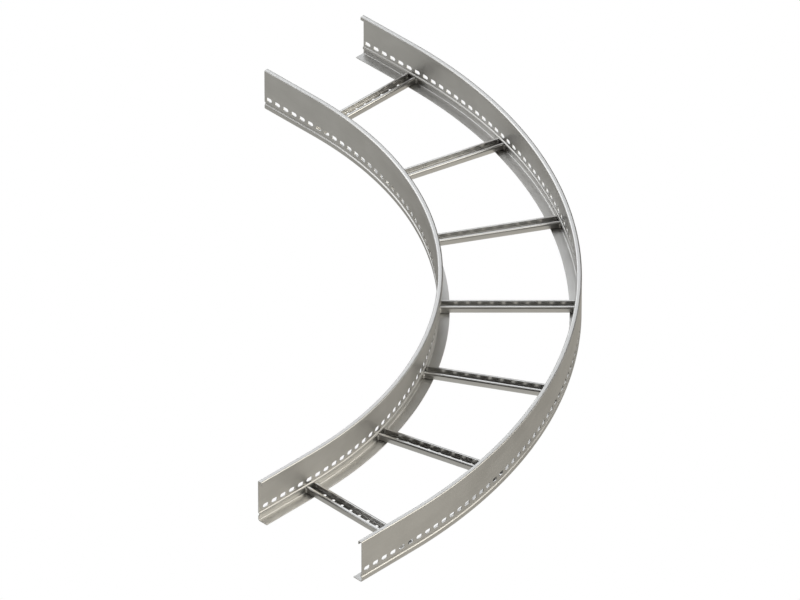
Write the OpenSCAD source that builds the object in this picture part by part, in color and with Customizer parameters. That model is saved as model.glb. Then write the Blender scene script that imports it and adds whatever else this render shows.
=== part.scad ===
// Cable ladder bend for a quarter turn in a flat run.
// Two folded side rails follow two arcs about one centre and run on a little way straight at each end.
// Seven channel rungs lie on the rails' bottom flanges, point at the centre of the bend and are welded in.
// The part lies on its flanges at z = 0, with the middle of its outline at the origin.
// Sizes are in millimetres.

/* [Bend] */
// radius of the inner rail's web, measured to the middle of the sheet
bend_r = 900; // [450:10:1200]
// width of the ladder over the outside faces of the two rails
ladder_w = 300; // [150:10:600]
// straight run at each end of both rails
straight = 147.5; // [60:0.5:250]

/* [Rail section] */
// height of a side rail
rail_h = 100; // [75:1:150]
// thickness of the rail sheet
sheet_t = 2; // [1.5:0.1:2.5]
// width of the bottom flange over the web
flange_w = 25; // [20:1:35]
// outside radius of the fold between web and flange
flange_fold_r = 4.5; // [3:0.1:5]
// width of the folded lip over the web
lip_w = 11; // [9:0.5:16]
// height of the lip's turned-down edge
lip_drop = 8.5; // [6:0.5:14]
// outside radius of the two folds of the lip
lip_fold_r = 3; // [2.8:0.1:3.8]

/* [Stiffening bead] */
// height of the middle of the bead above the floor
bead_z = 16; // [14:0.5:20]
// depth of the bead pressed into the web
bead_depth = 2.5; // [1.5:0.1:3]
// radius of the groove that the bead leaves in the outside face
bead_r = 4; // [3.5:0.1:5]

/* [Rail slots] */
// distance between slots along the web
slot_pitch = 25; // [22:0.5:50]
// height of the row of slots above the floor
slot_z = 30; // [28:0.5:45]
// length of a slot over its round ends
slot_l = 16; // [12:0.5:18]
// height of a slot
slot_h = 9; // [5:0.5:10]
// first slot of the inner rail, from the rail's end
slot_first_inner = 14; // [12:0.5:25]
// first slot of the outer rail, from the rail's end
slot_first_outer = 12.5; // [12:0.5:25]

/* [Rungs] */
// width of a rung over its walls
rung_w = 30; // [28:1:40]
// height of a rung
rung_h = 15; // [13:0.5:18]
// thickness of the rung sheet
rung_t = 1.5; // [1.2:0.1:2]
// width of each turned-in lip over the wall
rung_lip = 6.5; // [5:0.5:9]
// inside radius of the rung's folds
rung_fold_in = 2.5; // [1:0.1:3]
// distance between the slots in a rung's base
rung_slot_pitch = 25; // [20:1:50]
// length of a base slot, across the rung
rung_slot_l = 20; // [12:0.5:20]
// width of a base slot, along the rung
rung_slot_w = 7; // [5:0.5:10]
// clearance between a rung's end and the rail that it faces
rung_gap = 0.3; // [0.2:0.1:0.5]

/* [Welds] */
// radius of the weld bead that closes the end of a rung wall
weld_r = 2.4; // [1.8:0.1:2.6]

/* [Hidden] */
$fn = 48;
eps = 0.5;
rung_count = 7;
turn = 90;
face_inner = bend_r - sheet_t / 2;
face_outer = face_inner + ladder_w;
// distance from the centre of the bend to the middle of the outline
shift = (face_outer - straight) / 2;
// a rung stops at the crest of the bead, or at the fold of the flange where that reaches further in
rung_seat = max(sheet_t + bead_depth, flange_fold_r) + rung_gap;
rung_from = face_inner + rung_seat;
rung_to = face_outer - rung_seat;
rung_mid = (rung_from + rung_to) / 2;
rung_slots = floor((rung_to - rung_from - 2 * flange_w - rung_slot_w) / rung_slot_pitch) + 1;
rung_step = turn / (rung_count - 1);
rung_fold_r = rung_fold_in + rung_t;
// a weld stands between the fold of the flange and the foot of the rail's bead
bead_foot = bead_z - sqrt(pow(bead_r + sheet_t, 2) - pow(bead_r + sheet_t - bead_depth, 2));
weld_z = flange_fold_r + rung_gap;
weld_h = bead_foot - rung_gap - weld_z;
weld_round = min(weld_r, weld_h / 2 - rung_gap);

// Sector of a flat ring of mid radius r and width t between two angles less than half a turn apart.
module ring_sector(r, t, from, to) {
    reach = 3 * (r + t);
    mid = (from + to) / 2;
    intersection() {
        difference() {
            circle(r = r + t / 2);
            circle(r = r - t / 2);
        }
        polygon([
            [0, 0],
            [reach * cos(from), reach * sin(from)],
            [reach * cos(mid), reach * sin(mid)],
            [reach * cos(to), reach * sin(to)]
        ]);
    }
}

// Obround of overall length l and width w, lying along x.
module obround(l, w) {
    square([l - w, w], center = true);
    for (side = [-1, 1])
        translate([side * (l - w) / 2, 0])
            circle(d = w);
}

// Web from fold to fold, with the round bead pressed in: a groove outside and a ridge inside, one sheet thick.
module web_section() {
    centre = bead_depth - bead_r;
    ridge_r = bead_r + sheet_t;
    difference() {
        union() {
            translate([0, flange_fold_r])
                square([sheet_t, rail_h - lip_fold_r - flange_fold_r]);
            intersection() {
                translate([centre, bead_z])
                    circle(r = ridge_r);
                translate([sheet_t / 2, bead_z - ridge_r])
                    square([ridge_r, 2 * ridge_r]);
            }
        }
        translate([centre, bead_z])
            circle(r = bead_r);
    }
}

// Section of a side rail: x runs from the outside face towards the inside of the ladder, y is height.
module rail_section() {
    fold_mid = flange_fold_r - sheet_t / 2;
    lip_mid = lip_fold_r - sheet_t / 2;
    // flange and the fold into the web
    translate([flange_fold_r, 0])
        square([flange_w - flange_fold_r, sheet_t]);
    translate([flange_fold_r, flange_fold_r])
        ring_sector(fold_mid, sheet_t, 180, 270);
    web_section();
    // lip folded in, then folded down
    translate([lip_fold_r, rail_h - lip_fold_r])
        ring_sector(lip_mid, sheet_t, 90, 180);
    translate([lip_fold_r, rail_h - sheet_t])
        square([lip_w - 2 * lip_fold_r, sheet_t]);
    translate([lip_w - lip_fold_r, rail_h - lip_fold_r])
        ring_sector(lip_mid, sheet_t, 0, 90);
    translate([lip_w - sheet_t, rail_h - lip_drop])
        square([sheet_t, lip_drop - lip_fold_r]);
}

// The section set at its place on one rail: face is the radius of the outside face, inward +1 or -1.
module placed_section(face, inward) {
    translate([face, 0])
        if (inward > 0)
            rail_section();
        else
            mirror([1, 0])
                rail_section();
}

// Rail without slots: the arc and its two straight runs.
module rail_blank(face, inward) {
    rotate_extrude(angle = turn, $fn = 360)
        placed_section(face, inward);
    rotate([90, 0, 0])
        linear_extrude(height = straight)
            placed_section(face, inward);
    rotate([0, 0, turn])
        translate([0, straight, 0])
            rotate([90, 0, 0])
                linear_extrude(height = straight)
                    placed_section(face, inward);
}

// Puts its children on the web at distance s along the rail, x pointing away from the centre of the bend.
module along_web(s, r) {
    arc = r * turn * PI / 180;
    if (s < straight)
        rotate([0, 0, turn])
            translate([r, straight - s, 0])
                children();
    else if (s < straight + arc)
        rotate([0, 0, turn - (s - straight) / r * 180 / PI])
            translate([r, 0, 0])
                children();
    else
        translate([r, straight + arc - s, 0])
            children();
}

// Cutter for one slot, lying along the web.
module slot_cutter() {
    translate([-sheet_t, 0, slot_z])
        rotate([90, 0, 90])
            linear_extrude(height = 2 * sheet_t)
                obround(slot_l, slot_h);
}

// Side rail with its row of slots from end to end.
module rail(face, inward, first) {
    r = face + inward * sheet_t / 2;
    path = 2 * straight + r * turn * PI / 180;
    last = floor((path - first - slot_l / 2 - sheet_t) / slot_pitch);
    translate([-shift, -shift, 0])
        difference() {
            rail_blank(face, inward);
            for (i = [0 : last])
                along_web(first + i * slot_pitch, r)
                    slot_cutter();
        }
}

// Section of a rung: a channel open at the top with turned-in lips, y is height.
module rung_section() {
    half = rung_w / 2;
    mid = rung_fold_r - rung_t / 2;
    translate([-half + rung_fold_r, 0])
        square([rung_w - 2 * rung_fold_r, rung_t]);
    for (side = [0, 1])
        mirror([side, 0]) {
            translate([half - rung_fold_r, rung_fold_r])
                ring_sector(mid, rung_t, 270, 360);
            translate([half - rung_t, rung_fold_r])
                square([rung_t, rung_h - 2 * rung_fold_r]);
            translate([half - rung_fold_r, rung_h - rung_fold_r])
                ring_sector(mid, rung_t, 0, 90);
            translate([half - rung_lip, rung_h - rung_t])
                square([rung_lip - rung_fold_r, rung_t]);
        }
}

// Upright weld bead with round ends.
module weld_bead() {
    translate([0, 0, weld_round])
        cylinder(r = weld_round, h = weld_h - 2 * weld_round);
    for (z = [weld_round, weld_h - weld_round])
        translate([0, 0, z])
            sphere(r = weld_round);
}

// Rung lying along x at its true distance from the centre of the bend, with its welds.
module rung_blank() {
    difference() {
        translate([rung_from, 0, sheet_t])
            rotate([90, 0, 90])
                linear_extrude(height = rung_to - rung_from)
                    rung_section();
        for (i = [0 : rung_slots - 1])
            translate([rung_mid + (i - (rung_slots - 1) / 2) * rung_slot_pitch, 0, sheet_t - eps])
                rotate([0, 0, 90])
                    linear_extrude(height = rung_t + 2 * eps)
                        obround(rung_slot_l, rung_slot_w);
    }
    // a weld on the end of each wall, in the hollow under the rail's bead
    web_gap = sheet_t + rung_gap + weld_round;
    for (x = [face_inner + web_gap, face_outer - web_gap])
        for (side = [-1, 1])
            translate([x, side * (rung_w - rung_t) / 2, weld_z])
                weld_bead();
}

// Rung number k, counted from the end that lies along x to the end that lies along y.
module rung(k) {
    translate([-shift, -shift, 0])
        rotate([0, 0, (k - 1) * rung_step])
            rung_blank();
}

module inner_rail() {
    color("#9a968e")
        rail(face_inner, 1, slot_first_inner);
}

module outer_rail() {
    color("#9a968e")
        rail(face_outer, -1, slot_first_outer);
}

module rung_1() {
    color("#8d8a84")
        rung(1);
}

module rung_2() {
    color("#8d8a84")
        rung(2);
}

module rung_3() {
    color("#8d8a84")
        rung(3);
}

module rung_4() {
    color("#8d8a84")
        rung(4);
}

module rung_5() {
    color("#8d8a84")
        rung(5);
}

module rung_6() {
    color("#8d8a84")
        rung(6);
}

module rung_7() {
    color("#8d8a84")
        rung(7);
}

inner_rail();
outer_rail();
rung_1();
rung_2();
rung_3();
rung_4();
rung_5();
rung_6();
rung_7();
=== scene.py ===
# %% [markdown]
# # A cable ladder bend in satin steel
# The part turns a flat cable run through a quarter circle. Two folded side rails follow two arcs about
# one centre, seven channel rungs lie on the rails' bottom flanges, and welds hold the rungs in. The
# solids already have the true sections, beads and slots. This lesson models the rails and rungs again
# on the same lines with finer, even faces, gives the sheet its rolled finish, lays the weld beads in
# their corners, and lights the part on a white floor.

# %% Load the solids
import math

import bmesh
import bpy
from mathutils import Matrix, Vector


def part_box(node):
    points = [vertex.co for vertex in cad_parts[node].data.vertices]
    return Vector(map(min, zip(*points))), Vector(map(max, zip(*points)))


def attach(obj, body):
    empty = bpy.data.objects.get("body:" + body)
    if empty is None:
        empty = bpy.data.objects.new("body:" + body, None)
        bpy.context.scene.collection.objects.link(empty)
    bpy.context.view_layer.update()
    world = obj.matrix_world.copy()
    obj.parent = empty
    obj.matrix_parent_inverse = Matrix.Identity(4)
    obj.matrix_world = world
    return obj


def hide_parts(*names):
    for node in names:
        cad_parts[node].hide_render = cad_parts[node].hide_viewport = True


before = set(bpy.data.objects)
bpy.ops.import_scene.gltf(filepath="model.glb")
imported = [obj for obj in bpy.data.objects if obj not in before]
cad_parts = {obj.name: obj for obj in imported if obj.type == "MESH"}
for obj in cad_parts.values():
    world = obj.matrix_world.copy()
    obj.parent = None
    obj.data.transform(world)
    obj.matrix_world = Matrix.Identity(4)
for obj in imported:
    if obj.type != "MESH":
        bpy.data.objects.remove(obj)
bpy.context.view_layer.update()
print("solids:", ", ".join(sorted(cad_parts)))

# %% [markdown]
# ## The lines that the ladder is set out from
# Everything on the ladder is set out from the centre of the bend: the rails are arcs about it and the
# rungs point at it. The centre could be written down as a number, but the solids keep their place in
# their meshes, so it comes from the outer rail's box and the length of the straight run. All sizes are
# in metres.

# %% Setting out
STRAIGHT = 0.1475
SHEET = 0.002
FLANGE = 0.025

outer_low, outer_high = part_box("outer_rail")
inner_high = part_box("inner_rail")[1]
CENTRE = Vector((outer_low.x + STRAIGHT, outer_low.y + STRAIGHT, 0))
INNER_FACE = inner_high.x - CENTRE.x - FLANGE
OUTER_FACE = outer_high.x - CENTRE.x
INNER_WEB = INNER_FACE + SHEET / 2
OUTER_WEB = OUTER_FACE - SHEET / 2
print(f"bend centre {CENTRE.x:.4f}, {CENTRE.y:.4f}; webs at {INNER_WEB:.4f} and {OUTER_WEB:.4f}")

# %% [markdown]
# ## Small helpers for shader nodes
# A procedural finish is arithmetic on a point's position. Writing that arithmetic node by node takes
# many lines, so a few helpers do it. The first fills a socket: a value may be a number, or the output
# of another node, and then it is linked. The others make a Math node, any other node, a smooth Map
# Range, or a Mix of two colours. A Mix node has its colour sockets after those for numbers and vectors,
# so they go by their place.

# %% Node helpers
MIX_SHARE, MIX_FIRST, MIX_SECOND = 0, 6, 7
MIX_RESULT = 2


def fill(tree, socket, value):
    """Links a node's output into a socket, or sets the socket to a plain value."""
    if isinstance(value, bpy.types.NodeSocket):
        tree.links.new(value, socket)
    else:
        socket.default_value = value


def maths(tree, operation, *values):
    """A Math node on up to three values. Returns its output."""
    made = tree.nodes.new("ShaderNodeMath")
    made.operation = operation
    for socket, value in zip(made.inputs, values):
        fill(tree, socket, value)
    return made.outputs[0]


def add(tree, kind, settings=None, **sockets):
    """A shader node of that kind, with its settings and its sockets by name (underscores for spaces)."""
    made = tree.nodes.new("ShaderNode" + kind)
    for name, value in (settings or {}).items():
        setattr(made, name, value)
    for name, value in sockets.items():
        fill(tree, made.inputs[name.replace("_", " ")], value)
    return made


def ramp(tree, value, low, high, at_low=0.0, at_high=1.0):
    """Value carried smoothly from at_low, where it is low, to at_high, where it is high."""
    made = add(tree, "MapRange", {"interpolation_type": "SMOOTHSTEP"}, Value=value)
    for name, number in (("From Min", low), ("From Max", high), ("To Min", at_low), ("To Max", at_high)):
        made.inputs[name].default_value = number
    return made.outputs["Result"]


def blend(tree, share, first, second):
    """A mix of two colours: the first where the share is 0, the second where it is 1."""
    made = add(tree, "Mix", {"data_type": "RGBA"})
    for place, value in ((MIX_SHARE, share), (MIX_FIRST, first), (MIX_SECOND, second)):
        fill(tree, made.inputs[place], value)
    return made.outputs[MIX_RESULT]


print("helpers ready: fill, maths, add, ramp, blend")

# %% [markdown]
# ## Where a point lies along the ladder
# Rolled sheet has a grain that runs along the rail, round the bend and straight on at the ends. Object
# coordinates have no such direction, and a UV map would need unwrapping, so the finish works it out:
# across is the distance from the centre of the bend, along is the distance walked round it. Past the
# quarter circle one of the two coordinates is negative. Cutting it off at zero makes the same formula
# serve the straight runs.

# %% Coordinates that follow the bend
def run_of_the_bend(tree, web):
    """Outputs (along, across, height) of the shaded point for a sheet bent at radius web."""
    here = add(tree, "SeparateXYZ", Vector=add(tree, "TexCoord").outputs["Object"]).outputs
    x = maths(tree, "SUBTRACT", here["X"], CENTRE.x)
    y = maths(tree, "SUBTRACT", here["Y"], CENTRE.y)
    bend_x = maths(tree, "MAXIMUM", x, 0.0)
    bend_y = maths(tree, "MAXIMUM", y, 0.0)
    squares = maths(tree, "ADD", maths(tree, "POWER", bend_x, 2.0), maths(tree, "POWER", bend_y, 2.0))
    across = maths(tree, "SQRT", squares)
    turned = maths(tree, "MULTIPLY", maths(tree, "ARCTAN2", bend_y, bend_x), web)
    past = maths(tree, "SUBTRACT", maths(tree, "MINIMUM", y, 0.0), maths(tree, "MINIMUM", x, 0.0))
    return maths(tree, "ADD", turned, past), across, here["Z"]


def stretched(tree, lengths, scales):
    """A texture vector from three lengths, each with its own scale: a small scale draws the pattern out."""
    vector = add(tree, "CombineXYZ")
    for socket, length, scale in zip(vector.inputs, lengths, scales):
        fill(tree, socket, maths(tree, "MULTIPLY", length, scale))
    return vector.outputs[0]


def noise(tree, vector, detail=2.0, scale=1.0):
    """Soft noise from 0 to 1, with about scale patches in one unit of the vector."""
    return add(tree, "TexNoise", Vector=vector, Scale=scale, Detail=detail).outputs["Fac"]


print(f"arc length at the webs: {INNER_WEB * math.pi / 2:.3f} and {OUTER_WEB * math.pi / 2:.3f} m")

# %% [markdown]
# ## Satin steel
# The rails and rungs are bare steel sheet with a satin rolled finish: grey, a little warm, with soft
# reflections. One flat colour and one roughness would look like plastic, so a metallic Principled
# shader gets both from noise: wide clouds make tone and gloss uneven as handling does, faint streaks
# follow the grain, and a fine grain is pressed in as bump. Wear polishes the edges that are held and
# that brush against other steel.

# %% Satin steel
STEEL_DARK = (0.555, 0.548, 0.532, 1.0)
STEEL_LIGHT = (0.605, 0.598, 0.582, 1.0)
STEEL_WORN = (0.700, 0.695, 0.685, 1.0)
STREAKS = (3.0, 260.0, 260.0)
CLOUDS = (14.0, 22.0, 22.0)
GRAIN = (25.0, 1100.0, 1100.0)
CLOUD_SHARE = 0.75
TONE_LOW, TONE_HIGH = 0.35, 0.65
GLOSS_LOW, GLOSS_HIGH = 0.3, 0.7
CLOUD_GLOSS = 0.02
STREAK_GLOSS = 0.015
WORN_BRIGHTER = 0.15
WORN_SMOOTHER = -0.06
GRAIN_STRENGTH = 0.03
GRAIN_DEPTH = 0.00002


def steel_colour(tree, streak, cloud, worn):
    """Grey that drifts between two tones and is brighter where it is worn."""
    streaky = maths(tree, "MULTIPLY", streak, 1.0 - CLOUD_SHARE)
    tone = maths(tree, "ADD", streaky, maths(tree, "MULTIPLY", cloud, CLOUD_SHARE))
    body = blend(tree, ramp(tree, tone, TONE_LOW, TONE_HIGH), STEEL_DARK, STEEL_LIGHT)
    return blend(tree, maths(tree, "MULTIPLY", worn, WORN_BRIGHTER), body, STEEL_WORN)


def steel_roughness(tree, streak, cloud, worn, rough):
    """Roughness that is uneven with the clouds and streaks, and lower where the steel is worn."""
    by_cloud = ramp(tree, cloud, GLOSS_LOW, GLOSS_HIGH, -CLOUD_GLOSS, CLOUD_GLOSS)
    by_streak = ramp(tree, streak, GLOSS_LOW, GLOSS_HIGH, -STREAK_GLOSS, STREAK_GLOSS)
    rubbed = maths(tree, "MULTIPLY", worn, WORN_SMOOTHER)
    uneven = maths(tree, "ADD", maths(tree, "ADD", by_cloud, by_streak), rubbed)
    return maths(tree, "ADD", uneven, rough)


def blank_material(name):
    """A new material with its Principled shader."""
    material = bpy.data.materials.new(name)
    material.use_nodes = True
    return material


def satin_steel(material, lengths, worn, rough):
    """The rolled finish: lengths are along, across and up the grain, worn is a share for each point."""
    tree = material.node_tree
    shader = tree.nodes["Principled BSDF"]
    streak = noise(tree, stretched(tree, lengths, STREAKS), detail=3.0)
    cloud = noise(tree, stretched(tree, lengths, CLOUDS))
    grain = noise(tree, stretched(tree, lengths, GRAIN))
    bump = add(tree, "Bump", Strength=GRAIN_STRENGTH, Distance=GRAIN_DEPTH, Height=grain)
    tree.links.new(steel_colour(tree, streak, cloud, worn), shader.inputs["Base Color"])
    tree.links.new(steel_roughness(tree, streak, cloud, worn, rough), shader.inputs["Roughness"])
    tree.links.new(bump.outputs["Normal"], shader.inputs["Normal"])
    shader.inputs["Metallic"].default_value = 1.0
    return material


print("steel tones:", STEEL_DARK[:3], "to", STEEL_LIGHT[:3])

# %% [markdown]
# ## The rails' finish
# A rail is one long folded strip. Its grain runs along the bend, its top fold is rubbed bright by
# cables and hands, and the rims of its punched slots are polished by the punch. A painted mask could
# mark these places, but slots come at an even pitch from the end of the rail, so the distance to the
# nearest rim follows from the distance along the rail.

# %% Rail finish
SLOT_PITCH = 0.025
SLOT_LENGTH = 0.016
SLOT_HEIGHT = 0.009
SLOT_Z = 0.030
SLOT_FIRST = {"inner_rail": 0.014, "outer_rail": 0.0125}
WEB = {"inner_rail": INNER_WEB, "outer_rail": OUTER_WEB}
RAIL_HEIGHT = outer_high.z
RAIL_ROUGHNESS = 0.44
RIM = 0.0014
TOP_RUB = 0.004


def slot_rim(tree, along, height, web, first):
    """1 on the rim of a slot, fading to 0 a little way out on the web."""
    from_end = maths(tree, "SUBTRACT", STRAIGHT + web * math.pi / 2 - first, along)
    step = maths(tree, "FRACT", maths(tree, "ADD", maths(tree, "DIVIDE", from_end, SLOT_PITCH), 0.5))
    off_middle = maths(tree, "ABSOLUTE", maths(tree, "SUBTRACT", step, 0.5))
    aside = maths(tree, "MULTIPLY", off_middle, SLOT_PITCH)
    beyond = maths(tree, "MAXIMUM", maths(tree, "SUBTRACT", aside, (SLOT_LENGTH - SLOT_HEIGHT) / 2), 0.0)
    level = maths(tree, "SUBTRACT", height, SLOT_Z)
    squared = maths(tree, "ADD", maths(tree, "POWER", beyond, 2.0), maths(tree, "MULTIPLY", level, level))
    return ramp(tree, maths(tree, "SQRT", squared), SLOT_HEIGHT / 2, SLOT_HEIGHT / 2 + RIM, 1.0, 0.0)


def rail_finish(name, web, first_slot):
    """Satin steel for one rail, with bright slot rims and a rubbed top fold."""
    material = blank_material(name)
    tree = material.node_tree
    along, across, height = run_of_the_bend(tree, web)
    top = ramp(tree, height, RAIL_HEIGHT - TOP_RUB, RAIL_HEIGHT)
    worn = maths(tree, "MAXIMUM", top, slot_rim(tree, along, height, web, first_slot))
    return satin_steel(material, (along, across, height), worn, RAIL_ROUGHNESS)


rail_looks = {name: rail_finish("satin_steel_" + name, WEB[name], SLOT_FIRST[name]) for name in WEB}
print("finished:", ", ".join(rail_looks))

# %% [markdown]
# ## The rails' section
# A rail is one strip of sheet folded along its length: a flange at the foot, an upright web with a
# pressed bead, and a lip folded in and then down at the top. The solids' meshes carry this section
# round the bend in a few flats, and the bright lip shows them as teeth. So the rails are modelled again
# on the same lines, with small even faces and rounded sheet edges. The outline is only straight runs
# and arcs, so each fold is one call.

# %% Section of a rail
FLANGE_FOLD = 0.0045
LIP = 0.011
LIP_FOLD = 0.003
LIP_DROP = 0.0085
BEAD_Z = 0.016
BEAD_DEPTH = 0.0025
GROOVE = 0.004
BEAD_IN = BEAD_DEPTH - GROOVE
SHEET_EDGE = 0.0004
BAND = 0.012
FOLD_STEPS = 8
BEAD_STEPS = 12
EDGE_STEPS = 3


def arc(centre, radius, start, stop, steps):
    """Points of an arc in the section, from one angle to the other, in degrees."""
    turns = [math.radians(start + (stop - start) * k / steps) for k in range(steps + 1)]
    return [(centre[0] + radius * math.cos(turn), centre[1] + radius * math.sin(turn)) for turn in turns]


def rail_outline():
    """The section as a closed loop of (depth behind the outside face, height)."""
    foot = (FLANGE_FOLD, FLANGE_FOLD)
    bead = (BEAD_IN, BEAD_Z)
    top = (LIP_FOLD, RAIL_HEIGHT - LIP_FOLD)
    lip = (LIP - LIP_FOLD, RAIL_HEIGHT - LIP_FOLD)
    tip = RAIL_HEIGHT - LIP_DROP + SHEET_EDGE
    groove = math.degrees(math.acos(-BEAD_IN / GROOVE))
    ridge = math.degrees(math.acos((SHEET - BEAD_IN) / (GROOVE + SHEET)))
    low, high = SLOT_Z - BAND / 2, SLOT_Z + BAND / 2
    outside = arc((FLANGE - SHEET_EDGE, SHEET - SHEET_EDGE), SHEET_EDGE, 90, 0, EDGE_STEPS)
    outside += arc((FLANGE - SHEET_EDGE, SHEET_EDGE), SHEET_EDGE, 0, -90, EDGE_STEPS)
    outside += arc(foot, FLANGE_FOLD, 270, 180, FOLD_STEPS)
    outside += arc(bead, GROOVE, -groove, groove, BEAD_STEPS)
    outside += [(0.0, low), (0.0, high)]
    outside += arc(top, LIP_FOLD, 180, 90, FOLD_STEPS)
    outside += arc(lip, LIP_FOLD, 90, 0, FOLD_STEPS)
    outside += arc((LIP - SHEET_EDGE, tip), SHEET_EDGE, 0, -90, EDGE_STEPS)
    inside = arc((LIP - SHEET + SHEET_EDGE, tip), SHEET_EDGE, -90, -180, EDGE_STEPS)
    inside += arc(lip, LIP_FOLD - SHEET, 0, 90, FOLD_STEPS)
    inside += arc(top, LIP_FOLD - SHEET, 90, 180, FOLD_STEPS)
    inside += [(SHEET, high), (SHEET, low)]
    inside += arc(bead, GROOVE + SHEET, ridge, -ridge, BEAD_STEPS)
    inside += arc(foot, FLANGE_FOLD - SHEET, 180, 270, FOLD_STEPS)
    return outside + inside


print(f"section of {len(rail_outline())} points")

# %% [markdown]
# ## A stretch of strip
# Rails and rungs both begin as a flat strip with a folded section. The loop of the section is extruded
# along the strip as an open tube. Skinning it face by face would do the same, but one extrude makes all
# faces at once. A helper for the bevel rounds off edges that the real folding and punching leave soft.

# %% A stretch of strip
ROUND_STEPS = 2


def of_kind(parts, kind):
    """The vertices, edges or faces among the parts that an operator returns."""
    return [part for part in parts if isinstance(part, kind)]


def round_off(mesh, edges, width):
    """Bevels edges to a round."""
    bmesh.ops.bevel(
        mesh, geom=edges, offset=width, offset_type="OFFSET",
        segments=ROUND_STEPS, profile=0.5, affect="EDGES", material=-1,
    )


def add_stretch(mesh, outline, start, length):
    """Extrudes a section along the strip, as an open tube. Returns its vertices."""
    loop = [mesh.verts.new((start, depth, height)) for depth, height in outline]
    ring = [mesh.edges.new((loop[k - 1], loop[k])) for k in range(len(loop))]
    far = of_kind(bmesh.ops.extrude_edge_only(mesh, edges=ring)["geom"], bmesh.types.BMVert)
    bmesh.ops.translate(mesh, verts=far, vec=(length, 0.0, 0.0))
    return loop + far


print("helpers ready: of_kind, round_off, add_stretch")

# %% [markdown]
# ## A punched slot
# Slots are punched through the sheet and have round ends. A boolean cut would leave long thin faces, so
# the slot is built into the mesh: on each face of the sheet a ring of the slot's outline is filled in
# with the edges of that face, and the two rings are bridged through the sheet. A small bevel rounds the
# punched rims.

# %% A punched slot
SLOT_STEPS = 24
RIM_ROUND = 0.0002


def add_slot_ring(mesh, spot, length, height):
    """The outline of a slot with round ends on one face of the sheet. Returns its edges."""
    radius = min(length, height) / 2
    place = Matrix.Translation(spot) @ Matrix.Rotation(math.pi / 2, 4, "X")
    place = place @ Matrix.Rotation(math.pi / SLOT_STEPS, 4, "Z")
    ring = bmesh.ops.create_circle(mesh, segments=SLOT_STEPS, radius=radius, matrix=place)["verts"]
    spare = Vector((length / 2 - radius, 0.0, height / 2 - radius))
    for vert in ring:
        vert.co += Vector(math.copysign(more, off) for more, off in zip(spare, vert.co - spot))
    return list({edge for vert in ring for edge in vert.link_edges})


def punch_slot(mesh, along, height, sheet, slot):
    """Cuts a slot of that length and height through both faces of the sheet."""
    rims = []
    for depth in (0.0, sheet):
        spot = Vector((along, depth, height))
        band = min(mesh.faces, key=lambda face: (face.calc_center_median() - spot).length)
        border = list(band.edges)
        facing = band.normal.copy()
        bmesh.ops.delete(mesh, geom=[band], context="FACES_ONLY")
        rim = add_slot_ring(mesh, spot, *slot)
        bmesh.ops.triangle_fill(mesh, use_beauty=True, edges=border + rim, normal=facing)
        rims += rim
    bmesh.ops.bridge_loops(mesh, edges=rims)
    round_off(mesh, rims, RIM_ROUND)


print(f"a slot has {SLOT_STEPS} sides and rims rounded by {RIM_ROUND * 1000:.1f} mm")

# %% [markdown]
# ## A strip with a row of slots
# The slots come at an even pitch, so one pitch of a strip is modelled flat, with its slot, and then
# repeated. Drawing every slot in its place would give the same strip, only with far more work for the
# filling. Plain stretches make up the ends, doubles are merged at the joins, and both cut ends are
# filled.

# %% A slotted strip
TINY = 1e-5
MERGED = 1e-6


def slotted_strip(length, row, add_section, punch):
    """A flat strip closed at both ends, with a row of slots: (first slot, number of slots, pitch)."""
    first, count, pitch = row
    head = first - pitch / 2
    tail = head + count * pitch
    mesh = bmesh.new()
    add_section(mesh, head, pitch)
    punch(mesh, first)
    one_pitch = mesh.verts[:] + mesh.edges[:] + mesh.faces[:]
    for k in range(1, count):
        copy = of_kind(bmesh.ops.duplicate(mesh, geom=one_pitch)["geom"], bmesh.types.BMVert)
        bmesh.ops.translate(mesh, verts=copy, vec=(k * pitch, 0.0, 0.0))
    for start, stop in ((0.0, head), (tail, length)):
        if stop - start > TINY:
            add_section(mesh, start, stop - start)
    bmesh.ops.remove_doubles(mesh, verts=mesh.verts, dist=MERGED)
    for end in (0.0, length):
        cut = [edge for edge in mesh.edges if edge.is_boundary and abs(edge.verts[0].co.x - end) < TINY]
        bmesh.ops.triangle_fill(mesh, use_beauty=True, edges=cut, normal=(1.0, 0.0, 0.0))
    return mesh


print(f"points nearer than {MERGED * 1000} mm are merged")

# %% [markdown]
# ## From a mesh to a piece
# Every rail, rung and set of welds is finished the same way: its faces are turned outwards and shaded
# smooth. On sheet, edges sharper than a fold stay sharp. A flat beside a fold would still shade as if
# it were round, and more faces would cure that, but a Weighted Normal modifier does it without them. A
# sheet piece takes the place of the solid of the same name, which is hidden, and takes its steel.

# %% A sheet piece
SHARP = math.radians(35)


def as_object(name, mesh, look):
    """An object of a finished mesh, with its faces outwards, shaded smooth and in one finish."""
    bmesh.ops.recalc_face_normals(mesh, faces=mesh.faces)
    for facet in mesh.faces:
        facet.smooth = True
    data = bpy.data.meshes.new(name)
    mesh.to_mesh(data)
    mesh.free()
    data.materials.append(look)
    piece = bpy.data.objects.new(name, data)
    bpy.context.scene.collection.objects.link(piece)
    return piece


def sheet_piece(node, mesh, look):
    """Makes a piece of a finished mesh. It takes a hidden solid's place and moves with the ladder."""
    open_edges = sum(not edge.is_manifold for edge in mesh.edges)
    piece = as_object(node + "_sheet", mesh, look)
    piece.data.set_sharp_from_angle(angle=SHARP)
    even = piece.modifiers.new("flats_stay_flat", "WEIGHTED_NORMAL")
    even.keep_sharp = True
    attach(piece, "root")
    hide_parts(node)
    print(f"{piece.name}: {len(piece.data.polygons)} faces, {open_edges} open edges")


print(f"edges over {math.degrees(SHARP):.0f} degrees stay sharp")

# %% [markdown]
# ## A stretch of rail
# The bead along a rail's web is pressed by a rounded tool, so it leaves the flat of the web in a soft
# curve. More points in the outline could draw that curve, but a bevel on the bead's four long edges
# does it in one step, before any slot is punched.

# %% A stretch of rail
BEAD_SOFT = 0.0006
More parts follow.
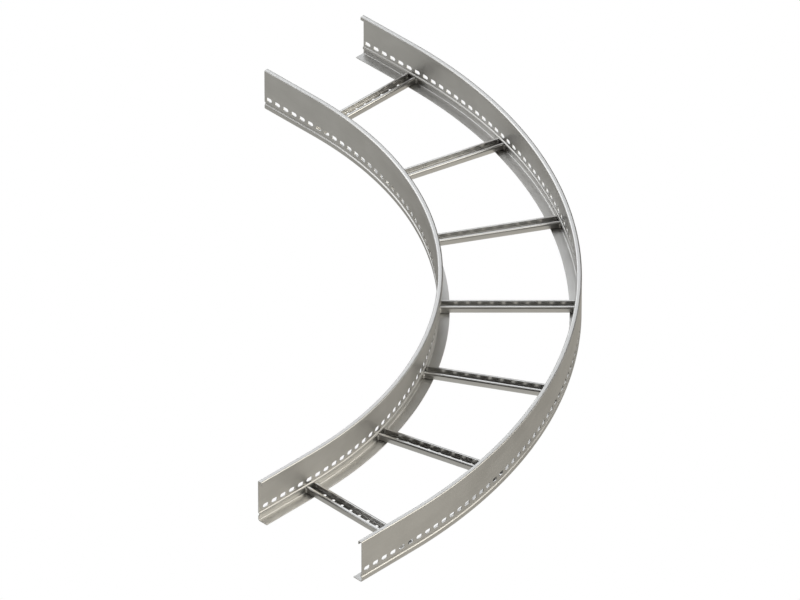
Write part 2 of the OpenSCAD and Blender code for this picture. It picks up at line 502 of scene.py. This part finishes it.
# Where the bead leaves each face of the sheet: depth, and rise from the bead's middle
BEAD_CORNERS = (
    (0.0, math.sqrt(GROOVE ** 2 - BEAD_IN ** 2)),
    (SHEET, math.sqrt((GROOVE + SHEET) ** 2 - (SHEET - BEAD_IN) ** 2)),
)


def at_bead_corner(point):
    """Whether a point of the strip lies where the bead leaves a face of the sheet."""
    rise = abs(point.z - BEAD_Z)
    return any(abs(point.y - depth) < TINY and abs(rise - corner) < TINY for depth, corner in BEAD_CORNERS)


def runs_along(edge):
    """Whether an edge runs along the strip."""
    return abs(edge.verts[0].co.x - edge.verts[1].co.x) > TINY


def add_rail_section(mesh, start, length):
    """A stretch of rail, with the four edges of its bead rounded."""
    edges = set()
    for vert in add_stretch(mesh, rail_outline(), start, length):
        if at_bead_corner(vert.co):
            edges.update(filter(runs_along, vert.link_edges))
    round_off(mesh, list(edges), BEAD_SOFT)


def punch_rail_slot(mesh, along):
    """One slot in the web of a rail."""
    punch_slot(mesh, along, SLOT_Z, SHEET, (SLOT_LENGTH, SLOT_HEIGHT))


print(f"the bead is {2 * BEAD_CORNERS[0][1] * 1000:.1f} mm wide and its edges are rounded")

# %% [markdown]
# ## Bending the rails
# On the real ladder the punched and folded strip is bent to its radius, and the model does the same.
# Every point of the flat strip keeps its distance along the web, its depth and its height, and is
# carried to the straight, the quarter circle or the far straight. A curve modifier could do this too,
# but the formula keeps exact lengths.

# %% Bent rails
FACE = {"inner_rail": (INNER_FACE, 1.0), "outer_rail": (OUTER_FACE, -1.0)}


def bent(point, web, face, inward):
    """The place on the ladder of a point of the flat strip."""
    reach = face + inward * point.y
    turned = min(max((point.x - STRAIGHT) / web, 0.0), math.pi / 2)
    onward = point.x - min(max(point.x, STRAIGHT), STRAIGHT + web * math.pi / 2)
    angle = math.pi / 2 - turned
    ahead = Vector((math.sin(angle), -math.cos(angle), 0.0))
    out = Vector((math.cos(angle), math.sin(angle), 0.0))
    return CENTRE + out * reach + ahead * onward + Vector((0.0, 0.0, point.z))


def bent_rail(name):
    """One rail: a slotted strip of its full length, bent round the ladder's centre."""
    length = 2 * STRAIGHT + WEB[name] * math.pi / 2
    first = SLOT_FIRST[name]
    count = int((length - first - SLOT_LENGTH / 2 - SHEET) / SLOT_PITCH) + 1
    mesh = slotted_strip(length, (first, count, SLOT_PITCH), add_rail_section, punch_rail_slot)
    for vert in mesh.verts:
        vert.co = bent(vert.co, WEB[name], *FACE[name])
    print(f"{name}: {length:.3f} m of strip with {count} slots")
    sheet_piece(name, mesh, rail_looks[name])


for rail_name in WEB:
    bent_rail(rail_name)

# %% [markdown]
# ## The rungs' finish
# A rung is the same steel folded into a channel, so its grain runs the other way, along the rung and
# towards the centre of the bend. One material for each rung would do, but the formula for the bend
# serves them all: distance from the centre is the lengthwise coordinate, and the way to the rung's own
# middle line is found by taking away the nearest multiple of the step between rungs.

# %% Rung finish
RUNG_STEP = math.radians(15)
RUNG_HEIGHT = 0.015
RUNG_TOP = SHEET + RUNG_HEIGHT
RUNG_RUB = 0.003
RUNG_ROUGHNESS = 0.36


def rung_finish(name):
    """Satin steel for the rungs, with the grain along each rung and its lips rubbed."""
    material = blank_material(name)
    tree = material.node_tree
    angle, reach, height = run_of_the_bend(tree, 1.0)
    steps = maths(tree, "ROUND", maths(tree, "DIVIDE", angle, RUNG_STEP))
    off_middle = maths(tree, "SUBTRACT", angle, maths(tree, "MULTIPLY", steps, RUNG_STEP))
    sideways = maths(tree, "MULTIPLY", off_middle, reach)
    worn = ramp(tree, height, RUNG_TOP - RUNG_RUB, RUNG_TOP)
    return satin_steel(material, (reach, sideways, height), worn, RUNG_ROUGHNESS)


rung_look = rung_finish("satin_steel_rungs")
print("finished:", rung_look.name)

# %% [markdown]
# ## The rungs' section
# A rung is a channel rolled from strip: a flat base with a row of slots across it, two walls, and two
# lips turned in, with a generous round at every fold. A bevelled box would do from afar, but these
# rounds catch the light along the whole rung, so they get small even faces. One function draws either
# half with arcs.

# %% Section of a rung
RUNG_WIDTH = 0.030
RUNG_SHEET = 0.0015
RUNG_LIP = 0.0065
RUNG_FOLD = 0.004
RUNG_EDGE = 0.0003
RUNG_SLOT = (0.007, 0.020)


def half_rung(side):
    """One half of the channel's outline, outside and inside, from the base up to the lip's edge."""
    wall = RUNG_WIDTH / 2 - RUNG_FOLD
    tip = RUNG_WIDTH / 2 - RUNG_LIP + RUNG_EDGE
    roof = RUNG_HEIGHT - RUNG_FOLD
    outside = arc((wall, RUNG_FOLD), RUNG_FOLD, -90, 0, FOLD_STEPS)
    outside += arc((wall, roof), RUNG_FOLD, 0, 90, FOLD_STEPS)
    outside += arc((tip, RUNG_HEIGHT - RUNG_EDGE), RUNG_EDGE, 90, 180, EDGE_STEPS)
    inside = arc((tip, RUNG_HEIGHT - RUNG_SHEET + RUNG_EDGE), RUNG_EDGE, 180, 270, EDGE_STEPS)
    inside += arc((wall, roof), RUNG_FOLD - RUNG_SHEET, 90, 0, FOLD_STEPS)
    inside += arc((wall, RUNG_FOLD), RUNG_FOLD - RUNG_SHEET, 0, -90, FOLD_STEPS)
    return [(height, side * across) for across, height in outside + inside]


def add_rung_section(mesh, start, length):
    """A stretch of rung, with its base at depth nought."""
    add_stretch(mesh, half_rung(1) + half_rung(-1)[::-1], start, length)


def punch_rung_slot(mesh, along):
    """One slot across the base of a rung."""
    punch_slot(mesh, along, 0.0, RUNG_SHEET, RUNG_SLOT)


print(f"section of {2 * len(half_rung(1))} points")

# %% [markdown]
# ## The rungs
# Seven rungs lie on the flanges, a sixth of a right angle apart, and stop just short of the webs. The
# strip is made lying along one axis with the same helpers as a rail, and then laid on its base and
# turned to its place. Linked copies of one rung would save time, but each rung is a piece by itself,
# with its place in its own mesh.

# %% Rungs
RUNGS = 7
RUNG_SLOTS = 10
RUNG_SLOT_PITCH = 0.025
RUNG_SEAT = 0.0048
RUNG_LENGTH = OUTER_FACE - INNER_FACE - 2 * RUNG_SEAT


def rung_turn(number):
    """The turn about the ladder's centre that brings a rung to its place."""
    return Matrix.Translation(CENTRE) @ Matrix.Rotation(number * RUNG_STEP, 4, "Z")


def rung(number):
    """One rung: a slotted strip laid on the flanges and turned about the ladder's centre."""
    first = (RUNG_LENGTH - (RUNG_SLOTS - 1) * RUNG_SLOT_PITCH) / 2
    row = (first, RUNG_SLOTS, RUNG_SLOT_PITCH)
    mesh = slotted_strip(RUNG_LENGTH, row, add_rung_section, punch_rung_slot)
    seat = Matrix.Translation((INNER_FACE + RUNG_SEAT, 0.0, SHEET))
    lay = seat @ Matrix.Rotation(math.pi / 2, 4, "X")
    bmesh.ops.transform(mesh, matrix=rung_turn(number) @ lay, verts=mesh.verts)
    sheet_piece(f"rung_{number + 1}", mesh, rung_look)


for rung_number in range(RUNGS):
    rung(rung_number)

# %% [markdown]
# ## Weld beads
# Each wall of a rung is welded to the rail's web with a short upright bead. A weld is a row of small
# frozen puddles, so its outline swells and narrows along its length. It could be a bump on a plain rod,
# but the corner catches the light, so the bead is modelled: a round face is extruded upwards step by
# step and scaled at each step, then set in its corner.

# %% Weld bead shape
WELD_HEIGHT = 0.0125
WELD_RADIAL = 0.0029
WELD_SIDE = 0.0033
WELD_SIDES = 12
PUDDLES = 6
PUDDLE_STEPS = 4
RIPPLE = 0.03
END_POWER = 4
END_LEAST = 0.02


def swell(share):
    """Width of the bead at a share of its height: round ends and a ripple for each puddle."""
    ends = math.sqrt(max(1.0 - (2.0 * share - 1.0) ** END_POWER, END_LEAST))
    return ends * (1.0 - RIPPLE + RIPPLE * math.cos(2.0 * math.pi * PUDDLES * share))


def add_weld_bead(mesh, place):
    """Extrudes one upright bead into the mesh and moves it to its corner."""
    steps = PUDDLE_STEPS * PUDDLES
    made = bmesh.ops.create_circle(mesh, cap_ends=True, segments=WELD_SIDES, radius=swell(0.0))
    bead = list(made["verts"])
    top = bead[0].link_faces[0]
    for step in range(1, steps + 1):
        raised = bmesh.ops.extrude_face_region(mesh, geom=[top])["geom"]
        ring = of_kind(raised, bmesh.types.BMVert)
        top = of_kind(raised, bmesh.types.BMFace)[0]
        width = swell(step / steps) / swell((step - 1) / steps)
        bmesh.ops.scale(mesh, verts=ring, vec=(width, width, 1.0))
        bmesh.ops.translate(mesh, verts=ring, vec=(0.0, 0.0, 1.0 / steps))
        bead += ring
    size = Matrix.Diagonal((WELD_RADIAL, WELD_SIDE, WELD_HEIGHT, 1.0))
    bmesh.ops.transform(mesh, matrix=place @ size, verts=bead)


print(f"a bead has {PUDDLES} puddles and is {WELD_HEIGHT * 1000:.1f} mm tall")

# %% [markdown]
# ## The welds' finish
# Weld metal is brighter than rolled sheet and has a trace of straw colour from the heat. A full mirror
# of the dark corner would hide the bead, so it is only partly metallic, and noise makes its tint and
# gloss patchy.

# %% Weld finish
WELD_BRIGHT = (0.94, 0.93, 0.91, 1.0)
WELD_STRAW = (0.86, 0.84, 0.80, 1.0)
WELD_SMOOTH, WELD_ROUGH = 0.35, 0.50
WELD_METALLIC = 0.3
WELD_PATCHES = 420.0
WELD_GRAIN = 1500.0
WELD_GRAIN_STRENGTH = 0.15
WELD_GRAIN_DEPTH = 0.00005


def weld_finish(name):
    """Bright weld metal with a patchy straw tint."""
    material = blank_material(name)
    tree = material.node_tree
    shader = tree.nodes["Principled BSDF"]
    here = add(tree, "TexCoord").outputs["Object"]
    patches = noise(tree, here, detail=3.0, scale=WELD_PATCHES)
    tint = blend(tree, ramp(tree, patches, TONE_LOW, TONE_HIGH), WELD_BRIGHT, WELD_STRAW)
    rough = ramp(tree, patches, GLOSS_LOW, GLOSS_HIGH, WELD_SMOOTH, WELD_ROUGH)
    fine = noise(tree, here, scale=WELD_GRAIN)
    bump = add(tree, "Bump", Strength=WELD_GRAIN_STRENGTH, Distance=WELD_GRAIN_DEPTH, Height=fine)
    tree.links.new(tint, shader.inputs["Base Color"])
    tree.links.new(rough, shader.inputs["Roughness"])
    tree.links.new(bump.outputs["Normal"], shader.inputs["Normal"])
    shader.inputs["Metallic"].default_value = WELD_METALLIC
    return material


weld_look = weld_finish("weld_metal")
print("finished:", weld_look.name)

# %% [markdown]
# ## The welds in their corners
# Every rung has four beads, one at each end of each wall. Each could be placed by its own coordinates,
# but they are set out on the rung's own line and then turned with it about the centre of the bend.

# %% Welds in their corners
WELD_BOTTOM = 0.0021
WELD_IN = 0.0026


def rung_welds(number):
    """The four weld beads of one rung as one piece."""
    mesh = bmesh.new()
    for out in (INNER_FACE + SHEET + WELD_IN, OUTER_FACE - SHEET - WELD_IN):
        for side in (-1, 1):
            wall = side * (RUNG_WIDTH - RUNG_SHEET) / 2
            add_weld_bead(mesh, rung_turn(number) @ Matrix.Translation((out, wall, WELD_BOTTOM)))
    piece = as_object(f"rung_{number + 1}_welds", mesh, weld_look)
    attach(piece, "root")
    return piece


welds = [rung_welds(number) for number in range(RUNGS)]
print(f"{len(welds)} weld pieces, {sum(len(weld.data.polygons) for weld in welds)} faces")

# %% [markdown]
# ## Camera
# The picture is taken from far away with a long lens, so parallel lines stay nearly parallel. An
# orthographic camera would make them quite parallel, but a lens keeps the slight narrowing with
# distance. The camera looks across the diagonal of the bend, 35 degrees down.

# %% Camera
LOOK_AT = Vector((0.028593, 0.079949, 0.0))
AZIMUTH = math.radians(45.0)
ELEVATION = math.radians(35.335)
DISTANCE = 26.298
LENS = 566.74
SENSOR = 36.0
FARTHEST = 200.0

RIGHT = Vector((math.cos(AZIMUTH), math.sin(AZIMUTH), 0.0))
AWAY = Vector((-math.sin(AZIMUTH), math.cos(AZIMUTH), 0.0))
UP = Vector((0.0, 0.0, 1.0))


def from_view(right, away, up):
    """A step through the scene as the viewer sees it: to the right, away from the viewer, and up."""
    return RIGHT * right + AWAY * away + UP * up


view_data = bpy.data.cameras.new("view")
view_data.sensor_width = SENSOR
view_data.lens = LENS
view_data.clip_end = FARTHEST
view = bpy.data.objects.new("view", view_data)
bpy.context.scene.collection.objects.link(view)
view.location = LOOK_AT + from_view(0.0, -DISTANCE * math.cos(ELEVATION), DISTANCE * math.sin(ELEVATION))
view.rotation_euler = (math.pi / 2 - ELEVATION, 0.0, AZIMUTH)
bpy.context.scene.camera = view
print(f"camera {DISTANCE:.1f} m away, {math.degrees(ELEVATION):.1f} degrees up")

# %% [markdown]
# ## Floor
# The part is shown on plain white, with no shadow under it. A lit white floor would show shadows, so
# the floor glows evenly instead. Steel mirrors whatever is round it, and a white floor would bleach the
# upright webs, so the floor is kept out of reflections.

# %% Floor
FLOOR_SIZE = 120.0
FLOOR_DROP = 0.0005
BLACK = (0.0, 0.0, 0.0, 1.0)
WHITE = (1.0, 1.0, 1.0, 1.0)

floor_mesh = bmesh.new()
bmesh.ops.create_grid(floor_mesh, x_segments=1, y_segments=1, size=FLOOR_SIZE / 2)
floor_data = bpy.data.meshes.new("floor")
floor_mesh.to_mesh(floor_data)
floor_mesh.free()
floor = bpy.data.objects.new("floor", floor_data)
bpy.context.scene.collection.objects.link(floor)
floor.location.z = -FLOOR_DROP
floor.visible_glossy = False
floor.visible_diffuse = False
floor_look = blank_material("white_floor")
floor_shader = floor_look.node_tree.nodes["Principled BSDF"]
floor_shader.inputs["Base Color"].default_value = BLACK
floor_shader.inputs["Specular IOR Level"].default_value = 0.0
floor_shader.inputs["Emission Color"].default_value = WHITE
floor_shader.inputs["Emission Strength"].default_value = 1.0
floor_data.materials.append(floor_look)
print("floor", FLOOR_SIZE, "m wide")

# %% [markdown]
# ## A glow
# Steel shows the room more than it shows itself, so the light is a room of soft glows, each strongest
# in one direction and fading to nothing round it. Area lamps would do as well, but their hard rims draw
# thin bright lines on the folds. A glow is a smooth ramp on the angle between its own direction and the
# one looked in.

# %% A glow
room = bpy.data.worlds.new("studio")
room.use_nodes = True
room_tree = room.node_tree
looking = add(room_tree, "TexCoord").outputs["Generated"]


def glow(light, bearing, height, starts, brightness, tint):
    """Adds a glow to the light of the room. Bearing is clockwise from straight behind, seen from above."""
    turn, rise = math.radians(bearing), math.radians(height)
    flat = math.cos(rise)
    way = from_view(flat * math.sin(turn), flat * math.cos(turn), math.sin(rise))
    facing = add(room_tree, "VectorMath", {"operation": "DOT_PRODUCT"})
    fill(room_tree, facing.inputs[0], looking)
    fill(room_tree, facing.inputs[1], way)
    share = ramp(room_tree, facing.outputs["Value"], starts, 1.0)
    more = add(room_tree, "VectorMath", {"operation": "MULTIPLY_ADD"})
    for socket, value in zip(more.inputs, (share, tint * brightness, light)):
        fill(room_tree, socket, value)
    return more.outputs["Vector"]


print("room ready:", room.name)

# %% [markdown]
# ## The studio
# Upright webs mirror the lower half of the room, which is pale and even, and warm on the right. Flat
# tops mirror what is behind them: cool glows at the back and a clear one lower down on the left. Warm
# glows on the right reach the flanges and the rungs that face them, and pale ones overhead fill the
# channels. The upper front stays mostly dark, so that the channels keep their depth. One even light
# would be simpler, but it would flatten every fold. Each glow has one of four widths and one of four
# strengths, and each strength is twice the one before, like the stops of a lens.

# %% Studio of soft glows
WARM = Vector((1.0, 0.95, 0.84))
PLAIN = Vector((1.0, 0.985, 0.92))
CLEAR = Vector((1.0, 1.0, 1.0))
COOL = Vector((0.97, 1.0, 1.04))
WIDE, SMALL, TIGHT, SPOT = 0.35, 0.77, 0.85, 0.93
FAINT = 0.24
SOFT, BRIGHT, STRONG = 2 * FAINT, 4 * FAINT, 8 * FAINT

light = Vector((0.0, 0.0, 0.0))
# Below, and low at the back right
light = glow(light, 140, -35, WIDE, SOFT, WARM)
light = glow(light, 70, -35, WIDE, FAINT, WARM)
light = glow(light, 0, -35, WIDE, FAINT, WARM)
light = glow(light, -110, -35, WIDE, SOFT, PLAIN)
light = glow(light, 180, -80, WIDE, FAINT, COOL)
light = glow(light, 65, 5, SMALL, FAINT, COOL)
# Behind and on the left
light = glow(light, -70, 20, TIGHT, STRONG, CLEAR)
light = glow(light, -45, 35, SMALL, BRIGHT, COOL)
light = glow(light, -15, 35, SPOT, STRONG, COOL)
# On the right
light = glow(light, 80, 35, SPOT, STRONG, WARM)
light = glow(light, 100, 30, SPOT, STRONG, WARM)
light = glow(light, 130, 30, TIGHT, SOFT, PLAIN)
# Overhead
light = glow(light, 105, 60, TIGHT, STRONG, PLAIN)
light = glow(light, 10, 60, TIGHT, SOFT, CLEAR)
light = glow(light, 0, 90, TIGHT, SOFT, CLEAR)
room_tree.links.new(light, room_tree.nodes["Background"].inputs["Color"])
bpy.context.scene.world = room
bpy.context.scene.view_settings.view_transform = "Standard"
print("glows:", sum(node.type == "MAP_RANGE" for node in room_tree.nodes))
